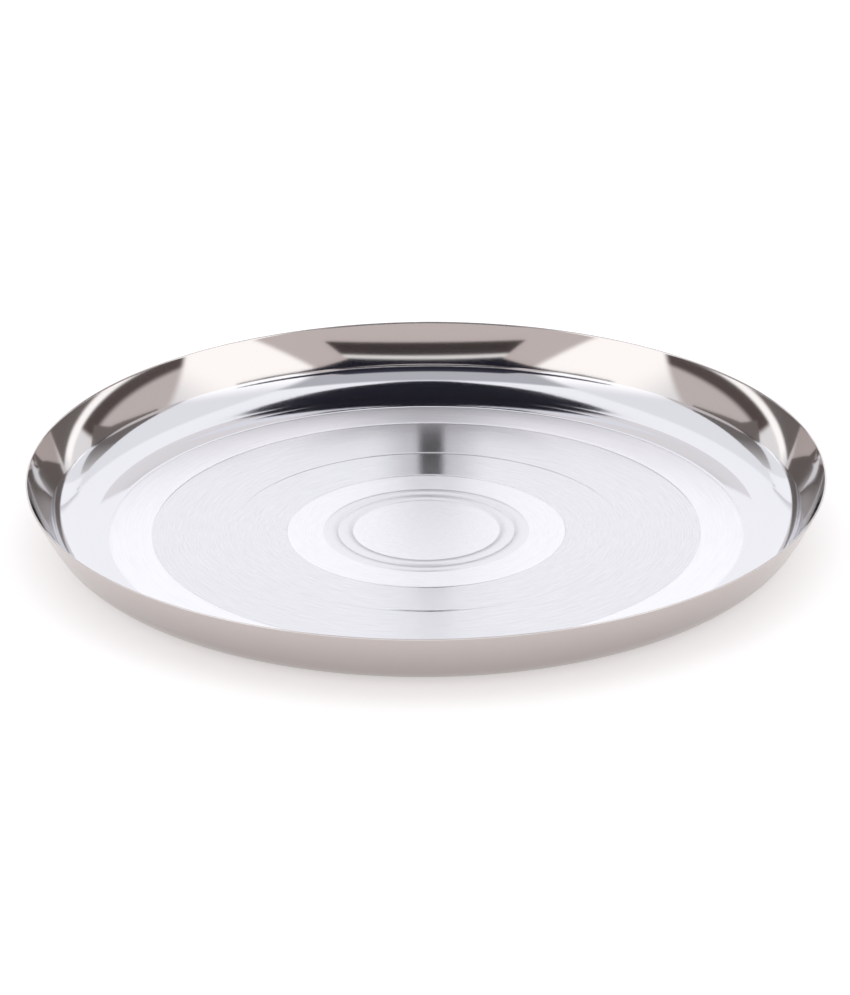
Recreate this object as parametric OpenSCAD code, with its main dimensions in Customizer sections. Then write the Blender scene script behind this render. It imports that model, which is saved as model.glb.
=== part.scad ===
// Thali: a round dinner plate pressed and spun from one sheet of stainless steel.
// The sheet is divided at its turned lines and at both ends of its bend into named zones, each a
// closed ring that butts on the next, so that every finish on the plate has a solid of its own.
// Frame: the origin is the middle of the foot on the table, +Z is up.

/* [Plate] */
// Outside diameter across the rim
plate_d = 300; // [255:1:340]
// Overall height from the table to the rim
plate_h = 24; // [20:0.5:32]
// Thickness of the steel sheet
sheet_t = 0.7; // [0.5:0.05:1.2]

/* [Side wall] */
// Slope of the wall above the level, in degrees
wall_slope = 61; // [50:1:75]
// Outside radius of the bend between floor and wall
corner_r = 18; // [10:0.5:22]

/* [Middle of the floor] */
// Diameter of the flat disc inside the raised rings
centre_d = 55; // [40:0.5:64]
// Width of each of the two raised rings
bead_w = 5.6; // [4:0.1:8]
// Height of the raised rings above the floor
bead_h = 0.3; // [0.2:0.05:0.6]

/* [Floor bands] */
// Parts of the inner satin band; the four bands fill the floor from the raised rings to the margin
inner_satin_part = 5; // [3:0.25:8]
// Parts of the inner brushed band
inner_brushed_part = 8; // [5:0.25:12]
// Parts of the outer brushed band
outer_brushed_part = 11; // [7:0.25:16]
// Parts of the outer satin band
outer_satin_part = 6; // [3:0.25:10]
// Width of the polished margin between the last turned line and the bend
margin_w = 7; // [3:0.5:12]
// Width of a turned line between two bands
line_w = 1.4; // [0.6:0.1:2]
// Depth of a turned line
line_depth = 0.12; // [0.05:0.01:0.25]

/* [Hidden] */
$fn = 180;

// Length of the straight wall between the bend and the middle of the rounded rim
half_t = sheet_t / 2;
bend_mid_r = corner_r - half_t;
wall_foot_z = corner_r - bend_mid_r * cos(wall_slope);
wall_length = (plate_h - half_t - wall_foot_z) / sin(wall_slope);

// Radius of the flat floor, which leaves room for the bend and the wall inside the rim
wall_spread = wall_length * cos(wall_slope) + bend_mid_r * sin(wall_slope);
floor_r = plate_d / 2 - half_t - wall_spread;
bend_middle = [floor_r, corner_r];

// Radii of the circles that part one zone from the next
centre_r = centre_d / 2;
bead_line_r = centre_r + bead_w;
bead_outer_r = bead_line_r + bead_w;
outer_satin_r = floor_r - margin_w;
band_parts = inner_satin_part + inner_brushed_part + outer_brushed_part + outer_satin_part;
part_w = (outer_satin_r - bead_outer_r) / band_parts;
inner_satin_r = bead_outer_r + inner_satin_part * part_w;
inner_brushed_r = inner_satin_r + inner_brushed_part * part_w;
outer_brushed_r = inner_brushed_r + outer_brushed_part * part_w;

// Radius of the arc that rises by bead_h over the width of a raised ring
bead_arc_r = (pow(bead_w / 2, 2) + pow(bead_h, 2)) / (2 * bead_h);

// Direction out of the bend at an angle up from straight down, in radius and height
function out_at(angle) = [sin(angle), -cos(angle)];

// Turns a section in the half-plane of radius and height into a ring about the plate's axis
module spun() {
    rotate_extrude() children();
}

// Section of a flat zone, with half of a turned line cut into each edge that has one
module flat_section(inner_r, outer_r, inner_line, outer_line) {
    line_floor = sheet_t - line_depth;
    half_line = line_w / 2;
    foot = [[inner_r, 0], [outer_r, 0]];
    outer_edge = outer_line
        ? [[outer_r, line_floor], [outer_r - half_line, sheet_t]]
        : [[outer_r, sheet_t]];
    inner_edge = inner_line
        ? [[inner_r + half_line, sheet_t], [inner_r, line_floor]]
        : [[inner_r, sheet_t]];
    polygon(concat(foot, outer_edge, inner_edge));
}

// Section of a raised ring: one arc above and the same arc one sheet lower
module bead_section(inner_r) {
    middle_r = inner_r + bead_w / 2;
    difference() {
        intersection() {
            translate([inner_r, 0]) square([bead_w, sheet_t + bead_h]);
            translate([middle_r, sheet_t + bead_h - bead_arc_r]) circle(r = bead_arc_r);
        }
        translate([middle_r, bead_h - bead_arc_r]) circle(r = bead_arc_r);
    }
}

// Section of the sheet round the bend's middle, from straight down up to the foot of the wall
module bend_section() {
    reach = 2 * corner_r;
    intersection() {
        difference() {
            circle(r = corner_r);
            circle(r = corner_r - sheet_t);
        }
        polygon([[0, 0], reach * out_at(0), reach * out_at(wall_slope / 2), reach * out_at(wall_slope)]);
    }
}

// Section of the wall and its rounded rim, lying flat, from straight below the bend's middle
module wall_section() {
    translate([0, -corner_r]) square([wall_length, sheet_t]);
    translate([wall_length, half_t - corner_r]) circle(r = half_t);
}

module centre_disc() {
    color("gainsboro") cylinder(r = centre_r, h = sheet_t);
}

module inner_bead() {
    color("whitesmoke") spun() bead_section(centre_r);
}

module outer_bead() {
    color("whitesmoke") spun() bead_section(bead_line_r);
}

module inner_satin_band() {
    color("gainsboro") spun() flat_section(bead_outer_r, inner_satin_r, false, true);
}

module inner_brushed_band() {
    color("lightgrey") spun() flat_section(inner_satin_r, inner_brushed_r, true, true);
}

module outer_brushed_band() {
    color("lightgrey") spun() flat_section(inner_brushed_r, outer_brushed_r, true, true);
}

module outer_satin_band() {
    color("gainsboro") spun() flat_section(outer_brushed_r, outer_satin_r, true, true);
}

module margin_band() {
    color("silver") spun() flat_section(outer_satin_r, floor_r, true, false);
}

module corner_bend() {
    color("silver") spun() translate(bend_middle) bend_section();
}

module side_wall() {
    color("silver") spun() translate(bend_middle) rotate(wall_slope) wall_section();
}

centre_disc();
inner_bead();
outer_bead();
inner_satin_band();
inner_brushed_band();
outer_brushed_band();
outer_satin_band();
margin_band();
corner_bend();
side_wall();
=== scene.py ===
# %% [markdown]
# # A steel thali plate
# The real plate is one disc of stainless sheet that is pressed and spun on a lathe. This lesson
# makes the same sheet again, zone by zone, round the same axis as the packed model, so that each
# zone can have the finish that a polisher gave it. Everything here is in metres.

# %% The packed model
import math

import bpy
from mathutils import Matrix, Vector


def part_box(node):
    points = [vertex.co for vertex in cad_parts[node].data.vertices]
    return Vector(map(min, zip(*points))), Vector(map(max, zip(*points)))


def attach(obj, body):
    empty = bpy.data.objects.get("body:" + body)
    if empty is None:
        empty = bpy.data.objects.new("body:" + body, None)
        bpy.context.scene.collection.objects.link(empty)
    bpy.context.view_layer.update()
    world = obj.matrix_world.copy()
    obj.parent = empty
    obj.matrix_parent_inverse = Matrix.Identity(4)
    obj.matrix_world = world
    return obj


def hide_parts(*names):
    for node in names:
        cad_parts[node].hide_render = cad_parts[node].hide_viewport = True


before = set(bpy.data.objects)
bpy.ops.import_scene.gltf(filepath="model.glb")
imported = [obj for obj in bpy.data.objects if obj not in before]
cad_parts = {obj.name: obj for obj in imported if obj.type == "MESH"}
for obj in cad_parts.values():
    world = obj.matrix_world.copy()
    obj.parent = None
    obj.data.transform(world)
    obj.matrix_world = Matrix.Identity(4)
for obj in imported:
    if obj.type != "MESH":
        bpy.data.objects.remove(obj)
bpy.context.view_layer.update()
print("packed zones:", ", ".join(sorted(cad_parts)))

# %% [markdown]
# ## Sizes
# A turned part is known by its radii and heights. They could be typed in again, but then a new
# size of plate would leave this file behind. So each radius is read from the box of the packed
# zone that ends there. Only the slope of the wall can't be read from a box, and it is named here.

# %% Radii and heights
FLOOR_ZONES = ["centre_disc", "inner_bead", "outer_bead", "inner_satin_band", "inner_brushed_band",
               "outer_brushed_band", "outer_satin_band", "margin_band"]
outer_radius = {name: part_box(name)[1].x for name in FLOOR_ZONES}
inner_radius = dict(zip(FLOOR_ZONES, [0.0] + [outer_radius[name] for name in FLOOR_ZONES[:-1]]))
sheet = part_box("centre_disc")[1].z
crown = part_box("inner_bead")[1].z - sheet
floor_radius = outer_radius["margin_band"]
plate_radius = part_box("side_wall")[1].x
plate_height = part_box("side_wall")[1].z
wall_slope = math.radians(61)
bend_radius = (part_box("corner_bend")[1].x - floor_radius) / math.sin(wall_slope)
bend_mid = bend_radius - sheet / 2
wall_foot = bend_radius - bend_mid * math.cos(wall_slope)
wall_length = (plate_height - sheet / 2 - wall_foot) / math.sin(wall_slope)
MM = 1000.0
print(f"plate {plate_radius * 2 * MM:.1f} mm across, {plate_height * MM:.1f} mm high")
print(f"sheet {sheet * MM:.2f} mm, bend {bend_radius * MM:.2f} mm, wall {wall_length * MM:.2f} mm")

# %% [markdown]
# ## Node trees as plain sums
# Geometry Nodes and shaders are both node trees, and both are easier to read as formulas. The
# class below wraps one socket. A sum or a product of wrapped sockets adds the Math node for it, and
# the method `node` adds a node of any other type, with its settings first and its sockets after.

# %% The socket wrapper
class Wire:
    def __init__(self, socket):
        self.socket = socket
        self.tree = socket.id_data

    @staticmethod
    def node(tree, kind, settings=None, values=None, output=0):
        made = tree.nodes.new(kind)
        for name, value in (settings or {}).items():
            if name == "stops":
                while len(made.color_ramp.elements) < len(value):
                    made.color_ramp.elements.new(1.0)
                for stop, (place, colour) in zip(made.color_ramp.elements, value):
                    stop.position = place
                    stop.color = (*colour, 1.0)
            else:
                setattr(made, name, value)
        for name, value in (values or {}).items():
            target = Wire.find(made.inputs, name)
            if isinstance(value, Wire):
                tree.links.new(value.socket, target)
            else:
                target.default_value = value
        return Wire(Wire.find(made.outputs, output)) if made.outputs else made

    @staticmethod
    def find(sockets, name):
        if isinstance(name, int):
            return sockets[name]
        return next(socket for socket in sockets if name in (socket.identifier, socket.name))

    def math(self, operation, *values):
        settings = {"operation": operation}
        return Wire.node(self.tree, "ShaderNodeMath", settings, dict(enumerate(values)))

    def __add__(self, other):
        return self.math("ADD", self, other)

    def __radd__(self, other):
        return self.math("ADD", other, self)

    def __sub__(self, other):
        return self.math("SUBTRACT", self, other)

    def __rsub__(self, other):
        return self.math("SUBTRACT", other, self)

    def __mul__(self, other):
        return self.math("MULTIPLY", self, other)

    def __rmul__(self, other):
        return self.math("MULTIPLY", other, self)

    def __truediv__(self, other):
        return self.math("DIVIDE", self, other)

    def __rtruediv__(self, other):
        return self.math("DIVIDE", other, self)

    def smallest(self, other):
        return self.math("MINIMUM", self, other)

    def largest(self, other):
        return self.math("MAXIMUM", self, other)

    def above(self, limit):
        return self.math("GREATER_THAN", self, limit)

    def ease(self, start, end):
        settings = {"interpolation_type": "SMOOTHSTEP"}
        values = {"Value": self, "From Min": start, "From Max": end}
        return Wire.node(self.tree, "ShaderNodeMapRange", settings, values)

    def blend(self, first, second):
        values = {"Factor_Float": self, "A_Color": first, "B_Color": second}
        return Wire.node(self.tree, "ShaderNodeMix", {"data_type": "RGBA"}, values, "Result_Color")


print("wrapper ready:", [name for name in vars(Wire) if not name.startswith("__")])

# %% [markdown]
# ## The lathe
# A spun plate is a section turned about an axis. Blender's Screw modifier or Spin tool could do
# that, but a Geometry Nodes tree keeps the section's rule and its sizes in one place. A closed ring
# of points takes the section's shape by each point's number, and Curve to Mesh sweeps it round a
# circle. The first half of the points runs out along the upper side and the rest comes back below.
# Where a section touches the axis, the sweep leaves its points a hair apart, and a weld joins them.

# %% Parts that both lathe trees share
FACETS = 400
WELD = 4e-6
CREASE = math.radians(40)
BLANK_RADIUS = 0.001


def new_lathe_tree(title, sizes):
    tree = bpy.data.node_groups.new(title, "GeometryNodeTree")
    tree.interface.new_socket(name="Geometry", in_out="INPUT", socket_type="NodeSocketGeometry")
    for name, kind in sizes.items():
        tree.interface.new_socket(name=name, in_out="INPUT", socket_type="NodeSocket" + kind)
    tree.interface.new_socket(name="Geometry", in_out="OUTPUT", socket_type="NodeSocketGeometry")
    group_input = tree.nodes.new("NodeGroupInput")
    return tree, {socket.name: Wire(socket) for socket in group_input.outputs if socket.name}


def sweep_and_finish(tree, sizes, points, radius, height):
    blank = Wire.node(tree, "GeometryNodeCurvePrimitiveCircle", None,
                      {"Resolution": points, "Radius": BLANK_RADIUS})
    place = Wire.node(tree, "ShaderNodeCombineXYZ", None,
                      {"X": radius - plate_radius, "Y": 0.0 - height})
    section = Wire.node(tree, "GeometryNodeSetPosition", None,
                        {"Geometry": blank, "Position": place})
    path = Wire.node(tree, "GeometryNodeCurvePrimitiveCircle", None,
                     {"Resolution": sizes["Facets"], "Radius": plate_radius})
    swept = Wire.node(tree, "GeometryNodeCurveToMesh", None,
                      {"Curve": path, "Profile Curve": section})
    welded = Wire.node(tree, "GeometryNodeMergeByDistance", None,
                       {"Geometry": swept, "Distance": WELD})
    smooth = Wire.node(tree, "GeometryNodeSetShadeSmooth", {"domain": "FACE"}, {"Geometry": welded})
    turn = Wire.node(tree, "GeometryNodeInputMeshEdgeAngle")
    crisp = Wire.node(tree, "GeometryNodeSetShadeSmooth", {"domain": "EDGE"},
                      {"Geometry": smooth, "Selection": turn.above(CREASE), "Shade Smooth": False})
    real = Wire.node(tree, "GeometryNodeRealizeInstances", None, {"Geometry": crisp})
    finished = Wire.node(tree, "GeometryNodeSetMaterial", None,
                         {"Geometry": real, "Material": sizes["Finish"]})
    Wire.node(tree, "NodeGroupOutput", None, {0: finished})


def turn_zone(name, tree, sizes):
    piece = bpy.data.objects.new("zone_" + name, bpy.data.meshes.new(name + "_blank"))
    bpy.context.scene.collection.objects.link(piece)
    lathe = piece.modifiers.new("lathe", "NODES")
    lathe.node_group = tree
    for socket in tree.interface.items_tree:
        if socket.in_out == "INPUT" and socket.name in sizes:
            lathe[socket.identifier] = sizes[socket.name]
    turned = piece.evaluated_get(bpy.context.evaluated_depsgraph_get())
    piece.data = bpy.data.meshes.new_from_object(turned)
    piece.modifiers.remove(lathe)
    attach(piece, "root")
    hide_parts(name)
    print(f"{piece.name}: {len(piece.data.vertices)} points, {len(piece.data.polygons)} faces")
    return piece


print("lathe with", FACETS, "facets round the axis")

# %% [markdown]
# ## The rule of the floor zones
# A floor zone is a flat ring. A raised ring is the same with a crown, pressed up from below, so
# its underside rises too. Where two bands meet, the turner cut a shallow line, and each band has
# one half of it. The points crowd towards both edges, because that is where the shape changes.

# %% Floor zone tree
floor_tree, floor_in = new_lathe_tree("turned_floor_zone", {
    "Inner radius": "Float", "Outer radius": "Float", "Sheet": "Float", "Crown": "Float",
    "Inner line depth": "Float", "Outer line depth": "Float", "Line width": "Float",
    "Steps": "Int", "Facets": "Int", "Finish": "Material"})
number = Wire.node(floor_tree, "GeometryNodeInputIndex")
steps = floor_in["Steps"]
is_below = number.above(steps - 0.5)
along = number - is_below * (2.0 * number - (2.0 * steps - 1.0))
half_turn = along / (steps - 1.0) * math.pi
share = 0.5 - half_turn.math("COSINE", half_turn) * 0.5
zone_width = floor_in["Outer radius"] - floor_in["Inner radius"]
zone_radius = floor_in["Inner radius"] + zone_width * share


def turned_line(distance, depth):
    return (1.0 - distance / (floor_in["Line width"] * 0.5)).largest(0.0) * depth


cut = (turned_line(zone_radius - floor_in["Inner radius"], floor_in["Inner line depth"])
       + turned_line(floor_in["Outer radius"] - zone_radius, floor_in["Outer line depth"]))
raised = floor_in["Crown"] * 4.0 * share * (1.0 - share)
zone_height = raised + (floor_in["Sheet"] - cut) * (1.0 - is_below)
sweep_and_finish(floor_tree, floor_in, steps * 2.0, zone_radius, zone_height)
print("floor zone tree:", len(floor_tree.nodes), "nodes")

# %% [markdown]
# ## The rule of the bend and the wall
# The bend is an arc of the sheet and the wall goes straight on from it, so one rule serves both.
# It follows the middle of the sheet and steps half a sheet to each side. At the rim the step swings
# round through half a turn, which leaves the soft edge that stops a plate from cutting the hand.

# %% Bend and wall tree
rise_tree, rise_in = new_lathe_tree("spun_rise", {
    "Floor radius": "Float", "Bend radius": "Float", "Sheet": "Float", "Start angle": "Float",
    "Swept angle": "Float", "Straight length": "Float", "Bow": "Float", "Rim": "Float",
    "Steps": "Int", "Rim steps": "Int", "Facets": "Int", "Finish": "Material"})
number = Wire.node(rise_tree, "GeometryNodeInputIndex")
side_steps = rise_in["Steps"] - 1.0
last = side_steps * 2.0 + rise_in["Rim steps"]
share = (number.smallest(last - number) / side_steps).smallest(1.0)
swing = ((number - side_steps) / rise_in["Rim steps"]).largest(0.0).smallest(1.0) * math.pi
lean = rise_in["Start angle"] + rise_in["Swept angle"] * share
half_sheet = rise_in["Sheet"] * 0.5
reach = rise_in["Bend radius"] - half_sheet - swing.math("COSINE", swing) * half_sheet
reach = reach + rise_in["Bow"] * 4.0 * share * (1.0 - share)
rounding = swing.math("SINE", swing) * half_sheet * rise_in["Rim"]
forward = rise_in["Straight length"] * share + rounding
lean_out = lean.math("SINE", lean)
lean_up = lean.math("COSINE", lean)
rise_radius = rise_in["Floor radius"] + reach * lean_out + forward * lean_up
rise_height = rise_in["Bend radius"] - reach * lean_up + forward * lean_out
sweep_and_finish(rise_tree, rise_in, last + 1.0, rise_radius, rise_height)
print("bend and wall tree:", len(rise_tree.nodes), "nodes")

# %% [markdown]
# ## Marks of turning
# All of the plate is one steel, so only the finish differs. A polisher's cloth and a turner's brush
# both run round the axis, and a mark is long that way and narrow across it. A noise stretched round
# the axis gives such marks: the direction from the axis goes in slowly and the radius fast.

# %% Helpers for the finishes
QUARTER_TURN = 0.25


def new_finish(name):
    finish = bpy.data.materials.new(name)
    finish.use_nodes = True
    finish.node_tree.nodes.clear()
    return finish, finish.node_tree


def part_of(tree, vector, letter):
    return Wire.node(tree, "ShaderNodeSeparateXYZ", None, {"Vector": vector}, letter)


def object_place(tree):
    return Wire.node(tree, "ShaderNodeTexCoord", None, None, "Object")


def marks(tree, across, around, detail=3.0):
    place = object_place(tree)
    level = Wire.node(tree, "ShaderNodeVectorMath", {"operation": "MULTIPLY"},
                      {0: place, 1: (1.0, 1.0, 0.0)})
    radius = Wire.node(tree, "ShaderNodeVectorMath", {"operation": "LENGTH"}, {0: level}, "Value")
    heading = Wire.node(tree, "ShaderNodeVectorMath", {"operation": "NORMALIZE"}, {0: level})
    stretched = Wire.node(tree, "ShaderNodeCombineXYZ", None, {
        "X": part_of(tree, heading, "X") * around,
        "Y": part_of(tree, heading, "Y") * around,
        "Z": (radius + part_of(tree, place, "Z")) * across})
    return Wire.node(tree, "ShaderNodeTexNoise", None,
                     {"Vector": stretched, "Scale": 1.0, "Detail": detail, "Roughness": 0.6})


def grain(tree, scale, detail=2.0):
    place = object_place(tree)
    return Wire.node(tree, "ShaderNodeTexNoise", None,
                     {"Vector": place, "Scale": scale, "Detail": detail, "Roughness": 0.5})


def underside(tree):
    normal = Wire.node(tree, "ShaderNodeNewGeometry", None, None, "Normal")
    return (0.0 - part_of(tree, normal, "Z")).ease(0.02, 0.25)


def steel(tree, colour, roughness, height, depth, anisotropic=0.0):
    normal = Wire.node(tree, "ShaderNodeBump", None, {"Height": height, "Distance": depth})
    surface = Wire.node(tree, "ShaderNodeBsdfPrincipled", None, {
        "Base Color": colour, "Metallic": 1.0, "Roughness": roughness,
        "Anisotropic": anisotropic, "Anisotropic Rotation": QUARTER_TURN, "Normal": normal})
    Wire.node(tree, "ShaderNodeOutputMaterial", None, {"Surface": surface})


print("finish helpers ready")

# %% [markdown]
# ## Satin steel
# The middle of the floor and two of its bands have a soft, frosted look with no clear reflection.
# A fine grain in the roughness keeps it from looking like plain paint, and faint turned marks
# show that it was spun.

# %% Satin finish
SATIN_DARK = (0.87, 0.87, 0.90, 1.0)
SATIN_LIGHT = (0.93, 0.93, 0.96, 1.0)
SATIN_DEPTH = 0.000004
satin, tree = new_finish("satin_steel")
fine = grain(tree, scale=2600.0)
turned = marks(tree, across=2200.0, around=6.0)
tone = turned.ease(0.3, 0.7).blend(SATIN_DARK, SATIN_LIGHT)
roughness = 0.25 + fine * 0.08 + turned * 0.05
steel(tree, tone, roughness, turned * 0.7 + fine * 0.3, SATIN_DEPTH)
print(satin.name, len(tree.nodes), "nodes")

# %% [markdown]
# ## Brushed steel
# Two bands were brushed while the plate turned. Each scratch runs round the axis, so light spreads
# across the scratches and stays narrow along them. The shader's own anisotropy does that, because
# its tangent runs round Z where no other one is given.

# %% Brushed finish
BRUSHED_DARK = (0.70, 0.70, 0.73, 1.0)
BRUSHED_LIGHT = (0.81, 0.81, 0.84, 1.0)
SCRATCH_DEPTH = 0.000005
brushed, tree = new_finish("brushed_steel")
scratch = marks(tree, across=5200.0, around=9.0, detail=4.0)
sweep = marks(tree, across=420.0, around=2.0)
tone = scratch.ease(0.25, 0.75).blend(BRUSHED_DARK, BRUSHED_LIGHT)
roughness = 0.09 + scratch * 0.05 + sweep * 0.02
steel(tree, tone, roughness, scratch, SCRATCH_DEPTH, anisotropic=1.0)
print(brushed.name, len(tree.nodes), "nodes")

# %% [markdown]
# ## Polished steel
# The bend and the margin beside it are polished to a mirror with a cool tone. The wall is a little
# warmer. A mirror still shows the cloth's fine lines, and the sheet's slight waves bend what it
# mirrors. The rim, which hands rub, and the underside, which nobody polishes twice, are duller. The
# underside also has painted shade in its colour: darker than the polished steel, and darkest at the
# foot, where the paper it mirrors lies in the plate's shadow.

# %% Polished finishes
# Painted shade for the underside: darker than the polished steel, and darkest at the foot.
PAINTED_SHADE_FOOT = (0.45, 0.415, 0.405, 1.0)
PAINTED_SHADE_TOP = (0.57, 0.52, 0.505, 1.0)
WAVE_DEPTH = 0.00003


def polished_steel(name, colour, roughness):
    finish, tree = new_finish(name)
    cloth = marks(tree, across=3000.0, around=5.0)
    waves = grain(tree, scale=14.0, detail=1.0)
    below = underside(tree)
    height = part_of(tree, object_place(tree), "Z")
    rim = height.ease(plate_height - 0.9 * sheet, plate_height - 0.3 * sheet)
    # Painted shade: the underside's colour darkens towards the foot, where the paper it mirrors is
    # shaded by the plate.
    painted_shade = height.ease(0.0, plate_height).blend(PAINTED_SHADE_FOOT, PAINTED_SHADE_TOP)
    tone = below.blend(colour, painted_shade)
    rough = roughness + cloth * 0.04 + below * 0.14 + rim * 0.08
    steel(tree, tone, rough, cloth * 0.01 + waves, WAVE_DEPTH)
    print(name, len(tree.nodes), "nodes")
    return finish


bright = polished_steel("polished_floor_steel", (0.78, 0.78, 0.81, 1.0), 0.05)
warm = polished_steel("polished_wall_steel", (0.76, 0.73, 0.72, 1.0), 0.03)
soft = polished_steel("polished_bead_steel", (0.80, 0.80, 0.83, 1.0), 0.26)

# %% [markdown]
# ## The floor of the plate
# Each zone is turned with its own radii. The disc and the raised rings have no line between them,
# because their creases already part them. Every other pair of neighbours shares a turned line. The
# disc is flat and meets the axis, so it takes fewer points, and only its middle point is welded.

# %% Turn the floor zones
LINE_WIDTH = 0.0014
LINE_DEPTH = 0.00012
BAND_STEPS = 32
DISC_STEPS = 12
LINED_INSIDE = {"inner_brushed_band", "outer_brushed_band", "outer_satin_band", "margin_band"}
LINED_OUTSIDE = {"inner_satin_band", "inner_brushed_band", "outer_brushed_band", "outer_satin_band"}
FLOOR_FINISH = {
    "centre_disc": satin, "inner_bead": soft, "outer_bead": soft, "inner_satin_band": satin,
    "inner_brushed_band": brushed, "outer_brushed_band": brushed, "outer_satin_band": satin,
    "margin_band": bright}
for name in FLOOR_ZONES:
    turn_zone(name, floor_tree, {
        "Inner radius": inner_radius[name], "Outer radius": outer_radius[name], "Sheet": sheet,
        "Crown": crown if name.endswith("bead") else 0.0, "Line width": LINE_WIDTH,
        "Inner line depth": LINE_DEPTH if name in LINED_INSIDE else 0.0,
        "Outer line depth": LINE_DEPTH if name in LINED_OUTSIDE else 0.0,
        "Steps": DISC_STEPS if name == "centre_disc" else BAND_STEPS,
        "Facets": FACETS, "Finish": FLOOR_FINISH[name]})

# %% [markdown]
# ## The bend, the wall and the rim
# The bend sweeps from level to the wall's slope and has no length of its own. The wall sweeps
# through no angle, but it has a length and, as pressed sheet does, a bow of a quarter millimetre.

# %% Turn the bend and the wall
BEND_STEPS = 64
WALL_STEPS = 40
RIM_STEPS = 12
WALL_BOW = 0.00025
BOTH = {"Floor radius": floor_radius, "Bend radius": bend_radius, "Sheet": sheet, "Facets": FACETS}
turn_zone("corner_bend", rise_tree, {
    **BOTH, "Start angle": 0.0, "Swept angle": wall_slope, "Straight length": 0.0, "Bow": 0.0,
    "Rim": 0.0, "Steps": BEND_STEPS, "Rim steps": 1, "Finish": bright})
turn_zone("side_wall", rise_tree, {
    **BOTH, "Start angle": wall_slope, "Swept angle": 0.0, "Straight length": wall_length,
    "Bow": WALL_BOW, "Rim": 1.0, "Steps": WALL_STEPS, "Rim steps": RIM_STEPS, "Finish": warm})

# %% [markdown]
# ## The studio floor
# The plate stands on plain white paper. White paper in a bright studio is a little overexposed, so
# the paper has a share of its own light for the camera and for mirrors. The rest of its
# brightness is real light, and the plate's soft shadow is what is missing from that.

# %% White paper
PAPER_COLOUR = (0.80, 0.80, 0.80, 1.0)
PAPER_GLOW = (0.43, 0.422, 0.42, 1.0)
PAPER_RADIUS = 9.0
PAPER_SIDES = 96
paper, tree = new_finish("studio_paper")
path = tree.nodes.new("ShaderNodeLightPath")
seen = (Wire(path.outputs["Is Camera Ray"]) + Wire(path.outputs["Is Glossy Ray"])
        + Wire(path.outputs["Is Transmission Ray"])).smallest(1.0)
matt = Wire.node(tree, "ShaderNodeBsdfDiffuse", None, {"Color": PAPER_COLOUR})
glow = Wire.node(tree, "ShaderNodeEmission", None, {"Color": PAPER_GLOW, "Strength": seen})
both = Wire.node(tree, "ShaderNodeAddShader", None, {0: matt, 1: glow})
Wire.node(tree, "ShaderNodeOutputMaterial", None, {"Surface": both})
bpy.ops.mesh.primitive_circle_add(vertices=PAPER_SIDES, radius=PAPER_RADIUS, fill_type="NGON")
ground = bpy.context.object
ground.name = "studio_floor"
ground.data.materials.append(paper)
print(f"{ground.name} of radius {PAPER_RADIUS:.0f} m")

# %% [markdown]
# ## Cards for mirrors
# A mirror is lit by what stands where it looks. Everything that stands near this plate is a card, a
# flat shape with a glow of its own. The cards are for mirrors only, and the camera and the paper
# don't see them.

# %% Helpers for the studio's cards
def studio_card(name, corners):
    cloth = bpy.data.meshes.new(name)
    cloth.from_pydata(corners, [], [range(len(corners))])
    card = bpy.data.objects.new(name, cloth)
    bpy.context.scene.collection.objects.link(card)
    surface, tree = new_finish(name + "_cloth")
    cloth.materials.append(surface)
    card.visible_camera = False
    card.visible_diffuse = False
    card.visible_shadow = False
    print(name, "with", len(corners), "corners")
    return tree


def upright(first, last, height):
    return [(*first, 0.0), (*last, 0.0), (*last, height), (*first, height)]


def both_halves(right_edge):
    return right_edge + [(-x, y, z) for x, y, z in reversed(right_edge)]


def pair(name, offset, middle=0.0):
    return {"left_" + name: middle - offset, "right_" + name: middle + offset}.items()


def glow_on(tree, colour, strength=1.0):
    glow = Wire.node(tree, "ShaderNodeEmission", None, {"Color": colour, "Strength": strength})
    Wire.node(tree, "ShaderNodeOutputMaterial", None, {"Surface": glow})


print("card helpers ready")

# %% [markdown]
# ## The softbox
# A small softbox stands close behind the plate, and the level floor of the plate mirrors it to the
# camera. Its cloth has a dark seam in the middle. Brushed steel draws out what it mirrors across its
# scratches, so the seam becomes the dark bar from the bend towards the middle. A white fin on either
# side hides the seam from the ends of the bend, which would mirror it as a stray dark mark.

# %% Softbox with a dark seam and two fins
BOX_HALF_WIDTH = 0.045
BOX_PLACE = 0.25
BOX_HEIGHT = 0.117
BOX_COLOUR = (1.0, 1.0, 1.03, 1.0)
BOX_LIGHT = 1.08
SEAM_MIDDLE = 0.0022
SEAM_EDGE = (0.0034, 0.0064)
SEAM_SHADE = (0.005, 0.025)
SEAM_TOP = 0.107
FIN_OFFSET = 0.007
FIN_PLACE = 0.21
FIN_HEIGHT = 0.078
tree = studio_card("softbox", upright((-BOX_HALF_WIDTH, BOX_PLACE), (BOX_HALF_WIDTH, BOX_PLACE),
                                      BOX_HEIGHT))
sideways = part_of(tree, object_place(tree), "X") - SEAM_MIDDLE
from_seam = sideways.math("ABSOLUTE", sideways)
beside_seam = from_seam.ease(*SEAM_EDGE) * 0.6 + from_seam.ease(*SEAM_SHADE) * 0.4
above_seam = part_of(tree, object_place(tree), "Z").ease(SEAM_TOP, BOX_HEIGHT)
glow_on(tree, BOX_COLOUR, BOX_LIGHT * beside_seam.largest(above_seam))
for name, x in pair("fin", FIN_OFFSET, SEAM_MIDDLE):
    corners = [(x, FIN_PLACE, 0.0), (x, BOX_PLACE, 0.0),
               (x, BOX_PLACE, BOX_HEIGHT), (x, FIN_PLACE, FIN_HEIGHT)]
    glow_on(studio_card(name, corners), BOX_COLOUR, BOX_LIGHT)

# %% [markdown]
# ## Flags
# Steel looks like steel only if it mirrors some dark as well. A black flag in the shape of a long
# leaf slopes up over the back of the plate, and the bend mirrors it as a dark crescent. The slope
# points at the front of the wall, which so sees no more than the flag's edge. A low grey flag on
# each side keeps the ends of the wall from washing out.

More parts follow.
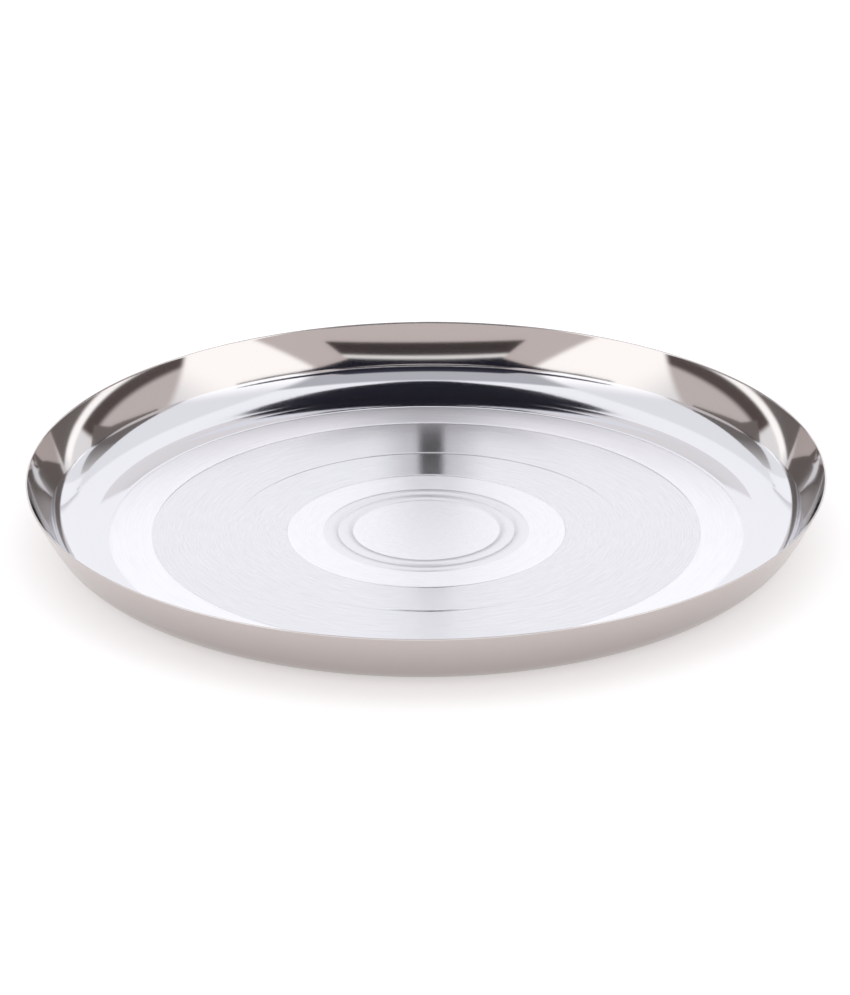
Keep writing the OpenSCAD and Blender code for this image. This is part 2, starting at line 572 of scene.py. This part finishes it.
# %% Black flag and side flags
FLAG_EDGE = [(0.004, 0.112), (0.006, 0.118), (0.009, 0.128), (0.0135, 0.141), (0.018, 0.169),
             (0.0205, 0.218), (0.024, 0.267), (0.028, 0.338), (0.031, 0.405), (0.033, 0.490),
             (0.035, 0.605), (0.032, 0.770)]
FLAG_BASE = 0.119
FLAG_SLOPE = 0.72
FLAG_BLACK = (0.012, 0.012, 0.02, 1.0)
SIDE_OFFSET = 0.62
SIDE_REACH = (-0.05, 1.30)
SIDE_HEIGHT = 0.10
SIDE_GREY = (0.17, 0.15, 0.145, 1.0)
leaf = both_halves([(half_width, place, FLAG_BASE + FLAG_SLOPE * place)
                    for half_width, place in FLAG_EDGE])
glow_on(studio_card("black_flag", leaf), FLAG_BLACK)
for name, x in pair("flag", SIDE_OFFSET):
    first, last = [(x, place) for place in SIDE_REACH]
    glow_on(studio_card(name, upright(first, last, SIDE_HEIGHT)), SIDE_GREY)

# %% [markdown]
# ## End cards
# At its far left and right the wall mirrors itself before it mirrors the room, and what it shows in
# the end is the part of the room high up on the other side. A dark card hangs there on each side,
# so both ends of the wall come out dark. Each card fades towards the back, because the bend mirrors
# it too, and a hard edge would draw a stripe there.

# %% Dark card for each end of the wall
END_EDGE = [(0.12, 0.246), (0.22, 0.199), (0.27, 0.177), (0.315, 0.142), (0.40, 0.155),
            (0.52, 0.225), (0.62, 0.290), (0.62, 0.360), (0.43, 0.345), (0.25, 0.295),
            (0.14, 0.268)]
END_OFFSET = 0.40
END_STOPS = [(0.34, (0.18, 0.16, 0.155)), (0.60, (0.62, 0.60, 0.60))]
for name, x in pair("end_card", END_OFFSET):
    tree = studio_card(name, [(x, place, height) for place, height in END_EDGE])
    place = part_of(tree, object_place(tree), "Y")
    fade = Wire.node(tree, "ShaderNodeValToRGB", {"stops": END_STOPS}, {"Fac": place})
    glow_on(tree, fade)

# %% [markdown]
# ## The dark panel
# The back of the wall mirrors what hangs over the front half of the plate. A dark panel with one
# bright slit hangs there, so the wall gets a dark band, a white line and a black line below each
# other, and the panel's pointed wings draw the black line out along the foot of the wall. The same
# dark in the sky would blacken the whole floor from other sides, and a panel this close doesn't.

# %% Dark panel with a bright slit
DARK_BOTTOM = 0.1555
DARK_TOP = 0.300
DARK_EDGE = [(0.078, DARK_BOTTOM), (0.062, 0.180), (0.090, 0.195), (0.123, 0.209), (0.180, 0.231),
             (0.270, 0.271), (0.300, 0.287), (0.270, 0.289), (0.197, 0.268), (0.134, 0.248),
             (0.090, 0.245), (0.080, DARK_TOP)]
DARK_PLACE = -0.05
DARK_STOPS = [(0.000, (0.05, 0.04, 0.04)), (0.118, (0.06, 0.05, 0.05)), (0.128, (1.0, 1.0, 1.0)),
              (0.152, (1.0, 1.0, 1.0)), (0.164, (0.01, 0.01, 0.02)), (0.800, (0.05, 0.05, 0.07)),
              (1.000, (0.50, 0.50, 0.53))]
outline = both_halves([(half_width, DARK_PLACE, height) for half_width, height in DARK_EDGE])
tree = studio_card("dark_panel", outline)
share = (part_of(tree, object_place(tree), "Z") - DARK_BOTTOM) / (DARK_TOP - DARK_BOTTOM)
stripes = Wire.node(tree, "ShaderNodeValToRGB", {"stops": DARK_STOPS}, {"Fac": share})
glow_on(tree, stripes)

# %% [markdown]
# ## Studio light
# A mirror shows the room, so the room is what gives steel its look. It is written as a sky, by
# direction. `over` is the angle over the plate from back to front, in degrees, and `across` is how
# far a direction leans to a side. `far_side` and `slant` are its lean and its height, each with a
# share of its depth, so that an edge in them runs aslant over the wall.

# %% Directions in the room
FAR_SHARE = 0.074
SLANT_SHARE = 0.22
world = bpy.data.worlds.new("studio")
bpy.context.scene.world = world
world.use_nodes = True
tree = world.node_tree
tree.nodes.clear()
heading = Wire.node(tree, "ShaderNodeTexCoord", None, None, "Generated")
side = part_of(tree, heading, "X")
across = side.math("ABSOLUTE", side)
back = part_of(tree, heading, "Y")
up = part_of(tree, heading, "Z")
over = up.math("ARCTAN2", up, back) * (180.0 / math.pi)
far_side = across + back * FAR_SHARE
slant = up + back * SLANT_SHARE
print("directions:", len(tree.nodes), "nodes")

# %% [markdown]
# ## Panels in the light
# The ceiling is white. In front, a grey panel gives the back of the wall its tone, with a white
# panel on either side of it. Past those, each side has a grey panel, a dark gap, a bright strip and
# a dark end. Each panel is laid over what came before it, and the white horizon over all of them.

# %% Light by direction
CEILING = (1.08, 1.08, 1.11)
HIGH_GREY = (0.52, 0.52, 0.55)
FRONT_GREY = (0.64, 0.58, 0.57)
FRONT_WHITE = (1.0, 0.99, 0.98)
FRONT_STOPS = [(0.000, CEILING), (0.540, CEILING), (0.565, HIGH_GREY), (0.680, HIGH_GREY),
               (0.740, FRONT_GREY), (0.866, FRONT_GREY), (0.885, FRONT_WHITE), (1.000, FRONT_WHITE)]
PANEL_HIGH = (0.92, 0.92, 0.95, 1.0)
PANEL_LOW = (1.3, 1.28, 1.27, 1.0)
PANEL_CORNER = 134.5
PANEL_LEAN = 0.027
GREY = (0.62, 0.57, 0.56, 1.0)
DARK_GAP = (0.10, 0.08, 0.078, 1.0)
DARK_END = (0.17, 0.155, 0.15, 1.0)
STRIP = (1.3, 1.3, 1.3, 1.0)
WHITE = (1.0, 1.0, 1.0, 1.0)


def between(value, low, high, soft):
    return value.ease(low - soft, low + soft) * (1.0 - value.ease(high - soft, high + soft))


front = Wire.node(tree, "ShaderNodeValToRGB", {"stops": FRONT_STOPS}, {"Fac": over / 180.0})
panels = over.ease(95.0, 125.0).blend(PANEL_HIGH, PANEL_LOW)
panel_edge = ((over - PANEL_CORNER) * PANEL_LEAN).largest(0.0)
light = (across - panel_edge).ease(0.44, 0.51).blend(front, panels)
light = far_side.ease(0.88, 0.90).blend(light, GREY)
dark_gap = far_side.ease(0.885, 0.90) * between(slant, 0.255, 0.324, 0.012)
light = dark_gap.blend(light, DARK_GAP)
dark_end = across.ease(0.60, 0.70) * back.ease(0.12, 0.24) * (1.0 - slant.ease(0.232, 0.244))
light = dark_end.blend(light, DARK_END)
strip = across.ease(0.70, 0.76) * between(slant, 0.242, 0.268, 0.006)
light = strip.blend(light, STRIP)
light = (1.0 - up.ease(0.04, 0.075)).blend(light, WHITE)
room = Wire.node(tree, "ShaderNodeBackground", None, {"Color": light, "Strength": 1.0})
Wire.node(tree, "ShaderNodeOutputWorld", None, {"Surface": room})
print("studio sky:", len(tree.nodes), "nodes")

# %% [markdown]
# ## Camera
# The photograph was taken from a low angle with a long lens. The camera stands three metres away,
# about 24 degrees above the table, and is turned a touch so that the right side rises.

# %% Place the camera
DISTANCE = 3.0
ELEVATION = math.radians(23.77)
ROLL = math.radians(-0.38)
AIM = Vector((-0.0004, 0.0052, 0.0118))
SENSOR_MM = 36.0
LENS_MM = 288.7
camera_data = bpy.data.cameras.new("photo_camera")
camera_data.sensor_width = SENSOR_MM
camera_data.lens = LENS_MM
camera = bpy.data.objects.new("photo_camera", camera_data)
bpy.context.scene.collection.objects.link(camera)
camera.location = Vector((0.0, -math.cos(ELEVATION), math.sin(ELEVATION))) * DISTANCE
turn = (AIM - camera.location).to_track_quat("-Z", "Y").to_matrix().to_4x4()
roll = Matrix.Rotation(ROLL, 4, "Z")
camera.matrix_world = Matrix.Translation(camera.location) @ turn @ roll
bpy.context.scene.camera = camera
bpy.context.scene.view_settings.view_transform = "Standard"
print("camera at", [round(c, 3) for c in camera.location])

# %% [markdown]
# The visual model has to stay in the packed model's box.
